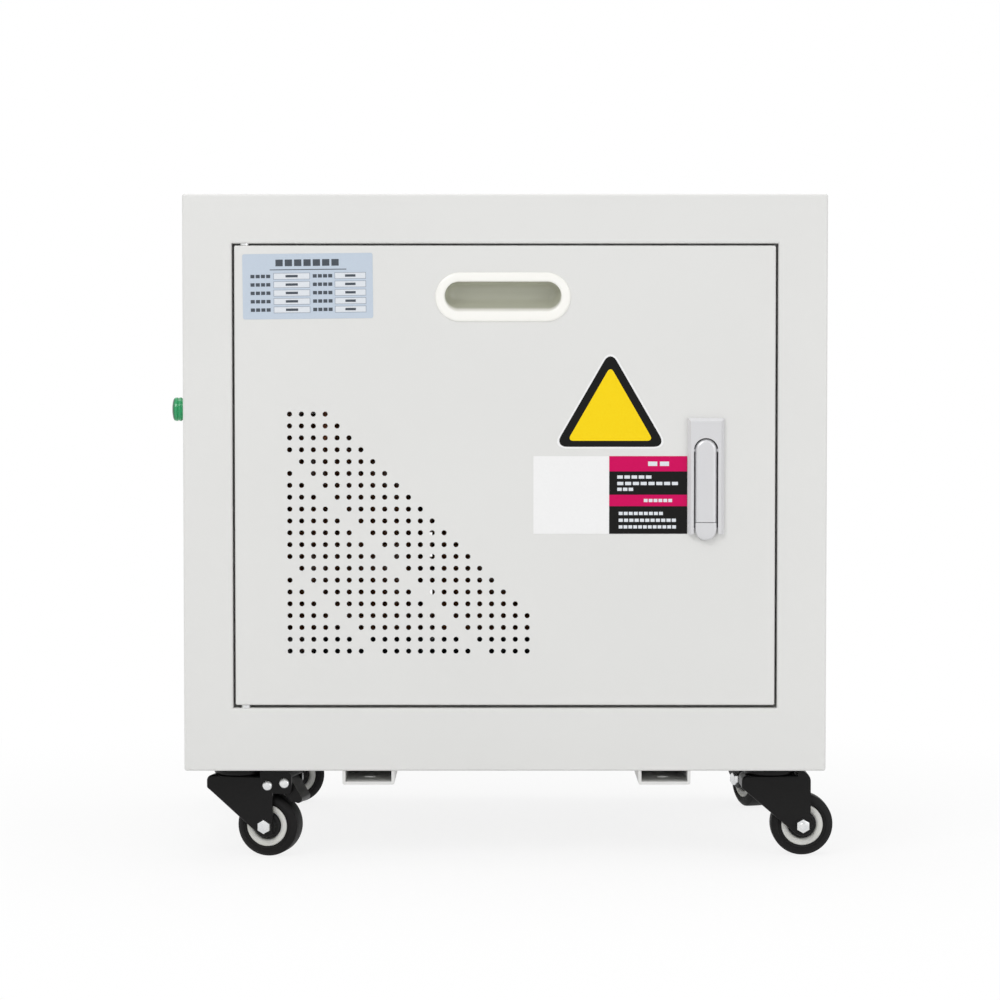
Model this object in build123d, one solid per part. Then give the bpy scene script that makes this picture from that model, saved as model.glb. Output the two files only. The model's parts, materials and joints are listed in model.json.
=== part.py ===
from build123d import *
import math
import os

# Dry type transformer in a sheet-metal cabinet on casters.
# Millimetres. X to the right, Y to the back, Z up from the floor, X = Y = 0 at the
# middle of the cabinet. The door is on the front, at the lowest Y.

# cabinet
cabinet_width = 640.0
cabinet_depth = 480.0
cabinet_height = 574.0
ground_gap = 91.0
sheet = 1.5
bend_radius = 2.5
seam = 0.1

front = -cabinet_depth / 2
back = cabinet_depth / 2
side = cabinet_width / 2
underside = ground_gap
top = ground_gap + cabinet_height

# front frame and door
frame_depth = 25.0
opening_width = 542.0
opening_bottom = 154.0
opening_top = 616.0
stop_setback = 24.0
stop_width = 14.0
door_width = 537.0
door_bottom = 157.0
door_top = 614.0
door_depth = 16.0
door_lip = 10.0
hinge_x = -258.5
hinge_setback = 6.0
hinge_pin_radius = 3.0
hinge_pin_length = 26.0
hinge_bush_radius = 4.4
hinge_bush_length = 12.0
hinge_collar_radius = 5.0
collar_play = 0.3
running_gap = 0.05

# ventilation field of the door: a triangle of holes with two diagonal rows left out
hole_radius = 2.5
hole_pitch = 11.8
hole_rows = 21
hole_first_x = -214.0
hole_first_z = 447.0
hole_sides = 8
first_row_last_column = 3
bare_diagonals = (4, 13)

# pull cup
cup_x = -2.0
cup_z = 564.0
cup_rim = (134.5, 50.8)
cup_mouth = (115.5, 28.5)
cup_wall = 2.0
cup_depth = 22.0
cup_proud = 2.5
cup_clearance = 0.4
cup_floor_radius = 6.0
cup_lip_radius = 1.6

# lift-and-turn lock
lock_x = 199.4
lock_bottom = 328.0
lock_width = 36.3
lock_height = 115.0
lock_proud = 6.0
lock_bevel = 3.0
lock_slot_width = 24.2
lock_slot_top = 423.3
lock_case_depth = 18.0
lock_case_inset = (3.2, 4.2)
lock_pin_radius = 2.0
spindle_z = 370.0
spindle_radius = 8.0
spindle_length = 10.0
cam_z = 354.0
cam_size = (56.0, 20.0)
cam_thickness = 3.0
lever_width = 21.4
lever_bottom = 339.8
lever_pivot_z = 411.0
lever_pivot_y = front - 1.0
button_bottom = 322.0
button_top = 339.2
lever_proud = 1.0
button_tip_thickness = 3.6

# labels on the door: left, right, bottom, top
rating_field = (-260.0, -131.0, 541.5, 606.0)
banded_field = (28.2, 181.0, 328.0, 405.3)
triangle_centre_x = 104.6
triangle_bottom = 415.0
triangle_side = 100.5
triangle_corner = 7.0
label_thickness = 0.3

# base rails
rail_width = 52.0
rail_height = 14.0
rail_wall = 3.0
rail_centres = (-136.4, 159.2)
rail_hole_radius = 5.5
rail_hole_y = 200.0

# pilot lamp on the left side
lamp_y = front + 62.0
lamp_z = 451.0
lamp_radius = 12.0
lamp_reach = 17.0
lamp_bezel = (15.0, 3.5)
lamp_barrel = (7.9, 32.0)
lamp_nut = (13.0, 5.0)
lamp_hole_radius = 8.0

# casters: wheel under a pressed fork that swivels below a top plate
caster_x = 268.5
caster_bolt_radius = 3.0
caster_bolt_head = 5.5
caster_nut_radius = 5.8
caster_y = 187.0
wheel_radius = 31.5
wheel_width = 28.0
caster_trail = 32.0
plate_size = 62.0
plate_thickness = 2.5
plate_hole_spacing = 46.0
race_radius = 26.0
race_bottom = 82.5
race_edge = 2.0
fork_top = 82.0
fork_hump_top = 87.0
fork_nose = 29.5
fork_nose_bottom = 69.0
fork_chin = (-24.0, 64.6)
fork_tail = 40.0
fork_web_bottom = 66.0
fork_sheet = 2.5
fork_width = 40.0
fork_lobe_radius = 11.0
king_pin_radius = 5.0
king_pin_head = (8.5, 3.4)
axle_radius = 4.0
axle_hex_radius = 7.5
axle_head = 5.3
axle_nut = 6.5
axle_end = 9.0
tread_shoulder = 7.0
web_thickness = 19.0
rim_width = 25.6
cap_thickness = 4.6
hub_radius = 9.0
rim_radius = 21.0
cap_radius = 14.0
brake_ear = 60.0
brake_ear_bottom = 65.0
brake_pivot = (52.3, 75.8)
brake_stud = (34.6, 72.9)
brake_pin_radius = 3.0
rivet_head = (5.3, 2.6)
pedal_width = 30.0
pedal_circles = ((52.3, 75.8, 6.5), (65.5, 59.5, 4.0), (57.5, 62.0, 3.5))
casters = (
    # corner, side in X, side in Y, turn about the swivel, braked, side of the bolt head
    ("fl", -1, -1, -13.0, True, 1),
    ("fr", 1, -1, 0.0, False, -1),
    ("rl", -1, 1, 8.0, False, 1),
    ("rr", 1, 1, -70.0, True, 1),
)

# transformer: three limbs, two yokes, two windings on each limb
limb_width = 78.0
limb_pitch = 163.0
core_depth = 90.0
window_height = 250.0
core_y = 30.0
core_bottom = 125.0
lv_wall = 14.0
hv_wall = 16.0
winding_gap = 6.0
winding_height = 232.0
clamp_height = 60.0
clamp_flange = 28.0
clamp_sheet = 4.0
clamp_inset = 9.0
clamp_foot = 50.0
tie_radius = 5.0
tie_nut = (9.0, 7.0)
tie_thread = 10.0
board_z = 560.0
board_size = (430.0, 62.0)
board_thickness = 10.0
board_setback = 56.0
board_post = 24.0
board_post_x = 190.0
bar_width = 16.0
bar_thickness = 3.0
bar_pitch = 52.0
bar_bolt = (7.0, 6.0)

# the folded edges of the panels behind the front frame
side_fold = 20.0
roof_fold = 22.0
floor_fold = 28.0
floor_sheet = 2.0
fold_end = 25.0

# back panel and its fittings
back_clearance = 2.2
slot_size = (190.0, 6.0)
slot_banks = (-130.0, 130.0)
slot_first_z = 235.0
slot_pitch = 22.0
slot_rows = 14
screw_head_size = (4.5, 3.0)
back_screw_x = (-290, 0, 290)
back_screw_z = (110, 378, 648)
roof_screw_y = (-180, 13, 205)
roof_screw_drop = 12.0
entry_x = 200.0
entry_z = 145.0
entry_bore = 15.0
grommet_hole = 18.0
earth_x = 0.0
earth_z = 135.0
earth_radius = 4.0
earth_reach = 12.0
earth_nut_radius = 7.5


def block(x0, x1, y0, y1, z0, z1):
    """A box given by its limits."""
    size = Box(x1 - x0, y1 - y0, z1 - z0)
    return Pos((x0 + x1) / 2, (y0 + y1) / 2, (z0 + z1) / 2) * size


def front_plane(y):
    """A sketch plane that faces the front, with sketch X to the right and Y up."""
    return Plane(origin=(0, y, 0), x_dir=(1, 0, 0), z_dir=(0, -1, 0))


def pushed(outline, y0, y1):
    """An outline in X and Z, made solid from depth y0 to depth y1."""
    return extrude(front_plane(y1) * outline, amount=y1 - y0)


def stadium(width, height):
    """A rounded slot outline that is wider than it is high."""
    return SlotOverall(width, height)


def grown(size, margin):
    """A width and a height, larger by a margin all round."""
    return size[0] + 2 * margin, size[1] + 2 * margin


def front_edges(solid, y):
    """The edges of a solid that lie in the plane at depth y."""
    return solid.edges().filter_by_position(Axis.Y, y - 0.01, y + 0.01)


def save(name, *solids):
    """Write one node, which may hold several separate solids."""
    shape = solids[0] if len(solids) == 1 else Compound(children=list(solids))
    export_step(shape, os.path.join("parts", name + ".step"))


# ---- cabinet sheet metal


def front_frame():
    """One folded sheet: outer flanges, door opening returns and the door stop."""
    half = opening_width / 2
    tray = block(-side, side, front, front + frame_depth, underside, top)
    rim = front_edges(tray, front) + tray.edges().filter_by(Axis.Y)
    tray = fillet(rim, bend_radius)
    inner = side - sheet
    tray -= block(-inner, inner, front + sheet, front + frame_depth, underside + sheet, top - sheet)
    outer = half + sheet
    stop_y = front + stop_setback
    sleeve = block(-outer, outer, front, stop_y, opening_bottom - sheet, opening_top + sheet)
    opening = block(-half, half, front - 1, stop_y - sheet, opening_bottom, opening_top)
    doorway = block(
        -half + stop_width,
        half - stop_width,
        front - 1,
        stop_y + 1,
        opening_bottom + stop_width,
        opening_top - stop_width,
    )
    frame = tray + sleeve - opening - doorway
    middle = (opening_bottom + opening_top) / 2
    reach = (opening_top - opening_bottom) / 2 + 1
    inner_edges = front_edges(frame, front).filter_by(
        lambda e: abs(e.center().X) < half + 1 and abs(e.center().Z - middle) < reach
    )
    frame = fillet(inner_edges, bend_radius)
    for z in (opening_bottom, opening_top):
        frame -= Pos(hinge_x, front + hinge_setback, z) * Cylinder(hinge_pin_radius, 8)
    return frame


def side_panel(sign):
    """Side sheet with the front and back edges folded inwards."""
    y0 = front + frame_depth + seam
    outer = sign * side
    inner = sign * (side - sheet)
    panel = block(min(outer, inner), max(outer, inner), y0, back, underside, top)
    fold = sign * (side - side_fold)
    flange_z = (underside + 3, top - 2)
    for y in (y0, back - 2 * sheet):
        panel += block(min(inner, fold), max(inner, fold), y, y + sheet, *flange_z)
    bends = panel.edges().filter_by(Axis.Z).filter_by_position(Axis.Y, y0 - 0.1, y0 + 0.1)
    panel = fillet(bends.filter_by(lambda e: abs(e.center().X - outer) < 0.1), sheet - 0.3)
    if sign < 0:
        panel -= Pos(-side, lamp_y, lamp_z) * Rot(0, 90, 0) * Cylinder(lamp_hole_radius, 10)
    return panel


def top_cover():
    """Roof sheet, let in between the side panels, with folded edges below it."""
    x = side - sheet - seam
    y0 = front + frame_depth + seam
    cover = block(-x, x, y0, back, top - sheet, top)
    fold_z = (top - roof_fold, top - sheet)
    for sign in (-1, 1):
        a, b = sorted((sign * x, sign * (x - sheet)))
        cover += block(a, b, y0 + 5, back - 6, *fold_z)
    half = side - fold_end
    for y in (y0 + 0.2, back - 2 * sheet):
        cover += block(-half, half, y, y + sheet, *fold_z)
    return cover


def back_panel():
    """Screwed-on sheet with two banks of slots, two cable entries and the earth stud hole."""
    x = side - sheet - seam
    panel = block(-x, x, back - sheet, back, underside + back_clearance, top - sheet - seam)
    slots = [
        Pos(bank, slot_first_z + slot_pitch * step) * stadium(*slot_size)
        for bank in slot_banks
        for step in range(slot_rows)
    ]
    round_holes = [Pos(sign * entry_x, entry_z) * Circle(grommet_hole) for sign in (-1, 1)]
    round_holes.append(Pos(earth_x, earth_z) * Circle(earth_radius))
    for cut in slots + round_holes:
        panel -= pushed(cut, back - 5, back + 5)
    return panel


def floor_panel():
    """Floor sheet with its sides and back folded up and a hole pattern at each caster."""
    x = side - sheet - seam
    y0 = front + frame_depth + seam
    floor = block(-x, x, y0, back, underside, underside + floor_sheet)
    fold_z = (underside, underside + floor_fold)
    for sign in (-1, 1):
        a, b = sorted((sign * x, sign * (x - floor_sheet)))
        floor += block(a, b, y0 + 4, back - 8, *fold_z)
    y1 = back - 3.2
    floor += block(-side + fold_end, side - fold_end, y1 - floor_sheet, y1, *fold_z)
    for place in caster_hole_places():
        floor -= Pos(*place, 0) * caster_bolt()
    return floor


def base_rail(x):
    """Shallow channel under the floor, open at both ends, with two fixing holes."""
    half = rail_width / 2
    low = underside - rail_height
    rail = block(x - half, x + half, front + 2, back - 2, low, underside)
    lower_edges = rail.edges().filter_by(Axis.Y).group_by(Axis.Z)[0]
    rail = fillet(lower_edges, 2.0)
    inner = half - rail_wall
    rail -= block(x - inner, x + inner, front - 1, back + 1, low + rail_wall, underside + 1)
    for y in (-rail_hole_y, rail_hole_y):
        rail -= Pos(x, y, low) * Cylinder(rail_hole_radius, 12)
    return rail


def hinge_pins():
    """Two pivot pins, each with the thrust collar that shows in the door gap."""
    axis_y = front + hinge_setback
    pins = []
    for base, door_end in ((opening_bottom, door_bottom), (opening_top, door_top)):
        away = math.copysign(1.0, door_end - base)
        height = abs(door_end - base) - collar_play
        shank = Pos(hinge_x, axis_y, base + away) * Cylinder(hinge_pin_radius, hinge_pin_length)
        middle = base + away * height / 2
        collar = Pos(hinge_x, axis_y, middle) * Cylinder(hinge_collar_radius, height)
        pins.append(shank + collar)
    return pins


def screw_head(radius, height):
    """Pan head, flat on its seat, pointing along +Z."""
    head = Pos(0, 0, height / 2) * Cylinder(radius, height)
    return fillet(head.edges().group_by(Axis.Z)[-1], height * 0.6)


def caster_hole_places():
    """Every caster bolt's place in the floor."""
    step = plate_hole_spacing / 2
    return [
        (cx * caster_x + dx * step, cy * caster_y + dy * step)
        for cx in (-1, 1)
        for cy in (-1, 1)
        for dx in (-1, 1)
        for dy in (-1, 1)
    ]


def caster_bolt():
    """Countersunk bolt, flush below the caster plate, up through the floor."""
    low = underside - plate_thickness
    middle = low + plate_thickness / 2
    head = Pos(0, 0, middle) * Cone(caster_bolt_head, caster_bolt_radius, plate_thickness)
    shank = Pos(0, 0, underside + 5) * Cylinder(caster_bolt_radius, 10)
    return head + shank


def caster_nut():
    hexagon = RegularPolygon(caster_nut_radius, 6)
    return Pos(0, 0, underside + floor_sheet) * extrude(hexagon, amount=5)


def cabinet_screws():
    """Panel screws at the back and sides, and the caster bolts below the plates."""
    head = screw_head(*screw_head_size)
    heads = []
    for x in back_screw_x:
        for z in back_screw_z:
            if x or z != back_screw_z[1]:
                heads.append(Pos(x, back, z) * Rot(-90, 0, 0) * head)
    for sign in (-1, 1):
        for y in roof_screw_y:
            heads.append(Pos(sign * side, y, top - roof_screw_drop) * Rot(0, sign * 90, 0) * head)
    for x, y in caster_hole_places():
        heads.append(Pos(x, y, 0) * (caster_bolt() + caster_nut()))
    return heads


# ---- fittings on the cabinet


def pilot_lamp():
    """Lamp barrel with its bezel ring, and the lens in front of it."""
    outward = Pos(-side, lamp_y, lamp_z) * Rot(0, -90, 0)
    bezel = Pos(0, 0, lamp_bezel[1] / 2) * Cylinder(*lamp_bezel)
    bezel = fillet(bezel.edges().group_by(Axis.Z)[-1], 1.2)
    barrel = Pos(0, 0, -lamp_barrel[1] / 2) * Cylinder(*lamp_barrel)
    nut = extrude(RegularPolygon(lamp_nut[0], 6), amount=-lamp_nut[1])
    body = bezel + barrel + Pos(0, 0, -sheet) * nut
    lens_length = lamp_reach - lamp_bezel[1]
    lens = Pos(0, 0, lamp_bezel[1] + lens_length / 2) * Cylinder(lamp_radius, lens_length)
    lens = fillet(lens.edges().group_by(Axis.Z)[-1], 4.0)
    return outward * body, outward * lens


def cable_grommets():
    """Rubber rings with a groove that grips the edge of the back panel."""
    with BuildSketch(Plane.XZ) as section:
        with BuildLine():
            Polyline(
                (entry_bore, -6),
                (20, -6),
                (22, -sheet),
                (grommet_hole, -sheet),
                (grommet_hole, 0),
                (22, 0),
                (20, 5),
                (entry_bore, 5),
                close=True,
            )
        make_face()
    ring = revolve(section.sketch, Axis.Z)
    return [Pos(sign * entry_x, back, entry_z) * Rot(-90, 0, 0) * ring for sign in (-1, 1)]


def earth_stud():
    """Brass stud through the back panel with a nut on each side."""
    stud = pushed(Pos(earth_x, earth_z) * Circle(earth_radius), back - 20, back + earth_reach)
    nut = RegularPolygon(earth_nut_radius, 6)
    for depth, amount in ((back, 4), (back - sheet - 5, 5)):
        stud += pushed(Pos(earth_x, earth_z) * nut, depth, depth + amount)
    return stud


# ---- transformer


def limb_positions():
    return [-limb_pitch, 0.0, limb_pitch]


def tie_bolt_places():
    """X and Z of each bolt across the yokes."""
    low = core_bottom + limb_width / 2
    high = low + limb_width + window_height
    return [(x, z) for z in (low, high) for x in limb_positions()]


def tie_holes():
    y0 = core_y - core_depth
    y1 = core_y + core_depth
    return [pushed(Pos(x, z) * Circle(tie_radius), y0, y1) for x, z in tie_bolt_places()]


def core_stack():
    """Stacked laminations: the bottom yoke and three limbs."""
    half = limb_pitch + limb_width / 2
    y0 = core_y - core_depth / 2
    y1 = core_y + core_depth / 2
    limb_top = core_bottom + limb_width + window_height
    core = block(-half, half, y0, y1, core_bottom, core_bottom + limb_width)
    for x in limb_positions():
        core += block(x - limb_width / 2, x + limb_width / 2, y0, y1, core_bottom, limb_top)
    return core - tie_holes()


def top_yoke():
    """Laminated yoke across the tops of the limbs."""
    half = limb_pitch + limb_width / 2
    low = core_bottom + limb_width + window_height
    y0 = core_y - core_depth / 2
    yoke = block(-half, half, y0, y0 + core_depth, low, low + limb_width)
    return yoke - tie_holes()


def sleeve(x, inner_width, inner_depth, wall, low, height):
    """A wound coil: a rectangular tube with round corners."""
    inner = RectangleRounded(inner_width, inner_depth, 6)
    outer = RectangleRounded(inner_width + 2 * wall, inner_depth + 2 * wall, 6 + wall)
    return Pos(x, core_y, low) * extrude(outer - inner, amount=height)


def windings():
    """Inner and outer coil of each limb, apart by the cooling duct."""
    low = core_bottom + limb_width + (window_height - winding_height) / 2
    inner_width = limb_width + 4
    inner_depth = core_depth + 4
    step = 2 * (lv_wall + winding_gap)
    inner = []
    outer = []
    for x in limb_positions():
        inner.append(sleeve(x, inner_width, inner_depth, lv_wall, low, winding_height))
        size = (inner_width + step, inner_depth + step)
        outer.append(sleeve(x, *size, hv_wall, low + 4, winding_height - 8))
    return inner, outer


def clamp_channel(low, y_face, outward, foot):
    """Pressed channel along a yoke, with a flange at its top and its bottom."""
    half = limb_pitch + limb_width / 2
    web_y = sorted((y_face, y_face + outward * clamp_sheet))
    flange_y = sorted((y_face, y_face + outward * clamp_flange))
    channel = block(-half, half, *web_y, low, low + clamp_height)
    for z in (low, low + clamp_height - clamp_sheet):
        channel += block(-half, half, *flange_y, z, z + clamp_sheet)
    if foot:
        floor_top = underside + floor_sheet
        foot_half = clamp_foot / 2
        for x in (-half + 30, half - 30):
            channel += block(x - foot_half, x + foot_half, *web_y, floor_top, low)
            channel += block(x - foot_half, x + foot_half, *flange_y, floor_top, floor_top + clamp_sheet)
    return channel - tie_holes()


def core_clamps():
    """Four channels that press the yokes together; the lower two carry the feet."""
    channels = []
    yoke_low = core_bottom + limb_width + window_height
    for outward in (-1, 1):
        y_face = core_y + outward * core_depth / 2
        channels.append(clamp_channel(core_bottom + clamp_inset, y_face, outward, True))
        channels.append(clamp_channel(yoke_low + clamp_inset, y_face, outward, False))
    return channels


def tie_bolts():
    """Bolts across the yokes and the clamps, with a nut at each end."""
    bolts = []
    reach = core_depth / 2 + clamp_sheet
    for x, z in tie_bolt_places():
        end = reach + tie_thread
        bolt = pushed(Pos(x, z) * Circle(tie_radius), core_y - end, core_y + end)
        hexagon = Pos(x, z) * RegularPolygon(tie_nut[0], 6)
        for outward in (-1, 1):
            seat = core_y + outward * reach
            bolt += pushed(hexagon, *sorted((seat, seat + outward * tie_nut[1])))
        bolts.append(bolt)
    return bolts


def terminal_board():
    """Insulating board above the yoke on two posts."""
    half = board_size[0] / 2
    depth = (core_y - board_setback - board_thickness, core_y - board_setback)
    board = block(-half, half, *depth, board_z, board_z + board_size[1])
    low = core_bottom + limb_width + window_height + clamp_inset + clamp_height
    for x in (-board_post_x, board_post_x):
        board += block(x - board_post / 2, x + board_post / 2, *depth, low, board_z)
    return board


def terminal_bars():
    """One copper bar and bolt per terminal, up from the windings to the board."""
    bars = []
    face = core_y - board_setback - board_thickness
    coil_face = core_y - (core_depth + 4) / 2 - lv_wall - winding_gap - hv_wall
    start = core_bottom + limb_width + window_height - 40
    link_z = (board_z + 17, board_z + 17 + bar_thickness)
    for centre in limb_positions():
        for dx in (-bar_pitch / 2, bar_pitch / 2):
            x = centre + dx
            width = (x - bar_width / 2, x + bar_width / 2)
            riser = block(*width, coil_face - bar_thickness, coil_face, start, link_z[1])
            link = block(*width, coil_face - bar_thickness, face, *link_z)
            tab = block(*width, face - bar_thickness, face, link_z[0], board_z + 48)
            hexagon = Pos(x, board_z + 36) * RegularPolygon(bar_bolt[0], 6)
            head = pushed(hexagon, face - bar_thickness - bar_bolt[1], face - bar_thickness)
            bars.append(riser + link + tab + head)
    return bars


# ---- door


def vent_outline():
    """The hole positions of the triangular ventilation field."""
    corner = hole_radius / math.cos(math.pi / hole_sides)
    hole = RegularPolygon(corner, hole_sides, rotation=180 / hole_sides)
    holes = []
    for row in range(hole_rows):
        last = min(first_row_last_column + row, hole_rows - 1)
        for column in range(last + 1):
            if row - column in bare_diagonals:
                continue
            holes.append(Pos(hole_first_x + column * hole_pitch, hole_first_z - row * hole_pitch) * hole)
    return holes


def door_panel():
    """Folded tray with returns and lips, the vent field, the cup hole and the lock hole."""
    half = door_width / 2
    rear = front + door_depth
    shell = block(-half, half, front, rear, door_bottom, door_top)
    shell = fillet(front_edges(shell, front) + shell.edges().filter_by(Axis.Y), 2.0)
    inner = half - sheet
    shell -= block(-inner, inner, front + sheet, rear - sheet, door_bottom + sheet, door_top - sheet)
    lip = sheet + door_lip
    shell -= block(-half + lip, half - lip, rear - sheet - 1, rear + 1, door_bottom + lip, door_top - lip)
    cuts = vent_outline()
    cuts.append(Pos(cup_x, cup_z) * stadium(*grown(cup_mouth, cup_wall + cup_clearance / 2)))
    case_z = lock_bottom + lock_height / 2
    cuts.append(Pos(lock_x, case_z) * Rectangle(lock_width - 6, lock_height - 8))
    sheet_cuts = Sketch() + cuts
    shell -= pushed(sheet_cuts, front - 1, front + sheet + 1)
    for z in (door_bottom, door_top):
        shell -= Pos(hinge_x, front + hinge_setback, z) * Cylinder(hinge_pin_radius + running_gap, 8)
    bush_end = sheet + hinge_bush_length / 2
    for z in (door_bottom + bush_end, door_top - bush_end):
        bush = Cylinder(hinge_bush_radius, hinge_bush_length)
        bush -= Cylinder(hinge_pin_radius + running_gap, hinge_bush_length)
        shell += Pos(hinge_x, front + hinge_setback, z) * bush
    return shell


def pull_cup():
    """Moulded flush handle: a rounded rim on the door and a finger cup behind it."""
    rim = pushed(Pos(cup_x, cup_z) * stadium(*cup_rim), front - cup_proud, front)
    rim = fillet(front_edges(rim, front - cup_proud), cup_proud - 0.3)
    shell = Pos(cup_x, cup_z) * stadium(*grown(cup_mouth, cup_wall))
    well = pushed(shell, front, front + cup_depth)
    well = fillet(front_edges(well, front + cup_depth), cup_floor_radius)
    floor_y = front + cup_depth - cup_wall
    hollow = pushed(Pos(cup_x, cup_z) * stadium(*cup_mouth), front - cup_proud, floor_y)
    hollow = fillet(front_edges(hollow, floor_y), cup_floor_radius)
    cup = rim + well - hollow
    mouth = front_edges(cup, front - cup_proud)
    inner = mouth.filter_by(lambda e: abs(e.center().Z - cup_z) < cup_mouth[1] / 2 + 0.5)
    inner = inner.filter_by(lambda e: abs(e.center().X - cup_x) < cup_mouth[0] / 2 + 0.5)
    return fillet(inner, cup_lip_radius)


def rating_plate():
    left, right, low, high = rating_field
    middle = Pos((left + right) / 2, (low + high) / 2)
    return pushed(middle * RectangleRounded(right - left, high - low, 2), front - label_thickness, front)


def banded_label():
    left, right, low, high = banded_field
    outline = Pos((left + right) / 2, (low + high) / 2) * Rectangle(right - left, high - low)
    return pushed(outline, front - label_thickness, front)


def triangle_label():
    """Sticker in the shape of a triangle with round corners."""
    inner_side = triangle_side - 2 * triangle_corner
    foot = triangle_bottom + triangle_corner
    points = [
        (triangle_centre_x - inner_side / 2, foot),
        (triangle_centre_x + inner_side / 2, foot),
        (triangle_centre_x, foot + inner_side * math.sqrt(3) / 2),
    ]
    outline = offset(Polygon(*points, align=None), triangle_corner, kind=Kind.ARC)
    return pushed(outline, front - label_thickness, front)


def lever_outline(low, high):
    """Elevation of the lever and the button, round at the arch and at the tip."""
    return Pos(lock_x, (low + high) / 2) * Rot(0, 0, 90) * SlotOverall(high - low, lever_width)


def lock_bezel():
    """Bevelled bezel and case with an arched slot, and the pivot pin across it."""
    face = front - lock_proud
    high = lock_bottom + lock_height
    plate = block(lock_x - lock_width / 2, lock_x + lock_width / 2, face, front, lock_bottom, high)
    bevelled = front_edges(plate, face).filter_by(lambda e: e.center().Z > lock_bottom + 1)
    plate = chamfer(bevelled, lock_bevel)
    case_half = lock_width / 2 - lock_case_inset[0]
    rear = front + lock_case_depth
    end = lock_case_inset[1]
    case = block(lock_x - case_half, lock_x + case_half, front, rear, lock_bottom + end, high - end)
    arch = Rot(0, 0, 90) * stadium(2 * lock_height, lock_slot_width)
    slot = pushed(Pos(lock_x, lock_slot_top - lock_height) * arch, face - 1, rear - 2)
    inside = block(lock_x - 20, lock_x + 20, face - 1, rear, lock_bottom + end + 2, high)
    mouth = block(lock_x - 20, lock_x + 20, face - 1, front, lock_bottom - 1, high)
    bezel = plate + case - (slot & inside) - (slot & mouth)
    across_slot = Pos(lock_x, lever_pivot_y, lever_pivot_z) * Rot(0, 90, 0)
    return bezel + across_slot * Cylinder(lock_pin_radius, case_half * 2 - 1)


def lock_cam():
    """Spindle behind the case with its cam, turned clear of the frame."""
    rear = front + lock_case_depth
    end = rear + spindle_length
    spindle = pushed(Pos(lock_x, spindle_z) * Circle(spindle_radius), rear, end)
    outline = Pos(lock_x, cam_z) * Rot(0, 0, 90) * stadium(*cam_size)
    return spindle + pushed(outline, end - 1 - cam_thickness, end - 1)


def lock_paddle():
    """Lever that lifts out of the slot about the cross pin at its upper end."""
    face = front - lock_proud - lever_proud
    arch_centre = lever_pivot_z + 0.6
    outline = lever_outline(lever_bottom - 40, arch_centre + lever_width / 2)
    lever = pushed(outline, face, lever_pivot_y + 6)
    lever &= block(lock_x - 20, lock_x + 20, face - 1, front + 20, lever_bottom, arch_centre + 20)
    lever = fillet(front_edges(lever, face).filter_by(lambda e: e.center().Z > arch_centre), 4.0)
    heel = lever_pivot_z - 9
    lever -= block(lock_x - 20, lock_x + 20, lever_pivot_y - 1, front + 20, lever_bottom - 1, heel)
    bore = Cylinder(lock_pin_radius + running_gap, 40)
    return lever - Pos(lock_x, lever_pivot_y, lever_pivot_z) * Rot(0, 90, 0) * bore


def lock_button():
    """Push button below the lever; its tip overhangs the lower end of the bezel."""
    face = front - lock_proud - lever_proud
    seat = face + button_tip_thickness
    tip = pushed(lever_outline(button_bottom, button_bottom + 60), face, seat)
    tip &= block(lock_x - 20, lock_x + 20, face - 1, front, button_bottom - 1, button_top)
    return tip + block(lock_x - 8, lock_x + 8, seat, front + 8, lock_bottom + 7.5, button_top)


# ---- casters, each drawn about its swivel axis with the wheel trailing along +X


def side_plane(y):
    """A sketch plane with sketch X along the trail and sketch Y up, at depth y."""
    return Plane(origin=(0, y, 0), x_dir=(1, 0, 0), z_dir=(0, -1, 0))


def across(outline, width):
    """An outline in X and Z, made solid across the caster, half to each side."""
    return extrude(side_plane(width / 2) * outline, amount=width)


def wheel_disc(radius, width):
    """A cylinder on the wheel's own axis."""
    return Pos(caster_trail, 0, wheel_radius) * Rot(90, 0, 0) * Cylinder(radius, width)


def caster_plate():
    """Top plate with its ball race cup and the king pin."""
    seat = underside - plate_thickness
    plate = Pos(0, 0, seat + plate_thickness / 2) * Box(plate_size, plate_size, plate_thickness)
    plate = fillet(plate.edges().filter_by(Axis.Z), 6)
    cup = Pos(0, 0, (seat + race_bottom) / 2) * Cylinder(race_radius, seat - race_bottom)
    cup = fillet(cup.edges().group_by(Axis.Z)[0], race_edge)
    crown_low = fork_top - fork_sheet
    pin = Pos(0, 0, (seat + crown_low - 4) / 2) * Cylinder(king_pin_radius, seat - crown_low + 4)
    head = Pos(0, 0, crown_low - 2.2) * Cylinder(*king_pin_head)
    plate += cup + pin + head
    step = plate_hole_spacing / 2
    for dx in (-step, step):
        for dy in (-step, step):
            plate -= Pos(dx, dy, 0) * caster_bolt()
    return plate


def tangent_point(x, z, centre_x, centre_z, radius):
    """Where a line from (x, z) touches the lower left of a circle."""
    dx, dz = centre_x - x, centre_z - z
    distance = math.hypot(dx, dz)
    turn = math.atan2(dz, dx) - math.asin(radius / distance)
    reach = math.sqrt(distance**2 - radius**2)
    return (x + reach * math.cos(turn), z + reach * math.sin(turn))


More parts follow.
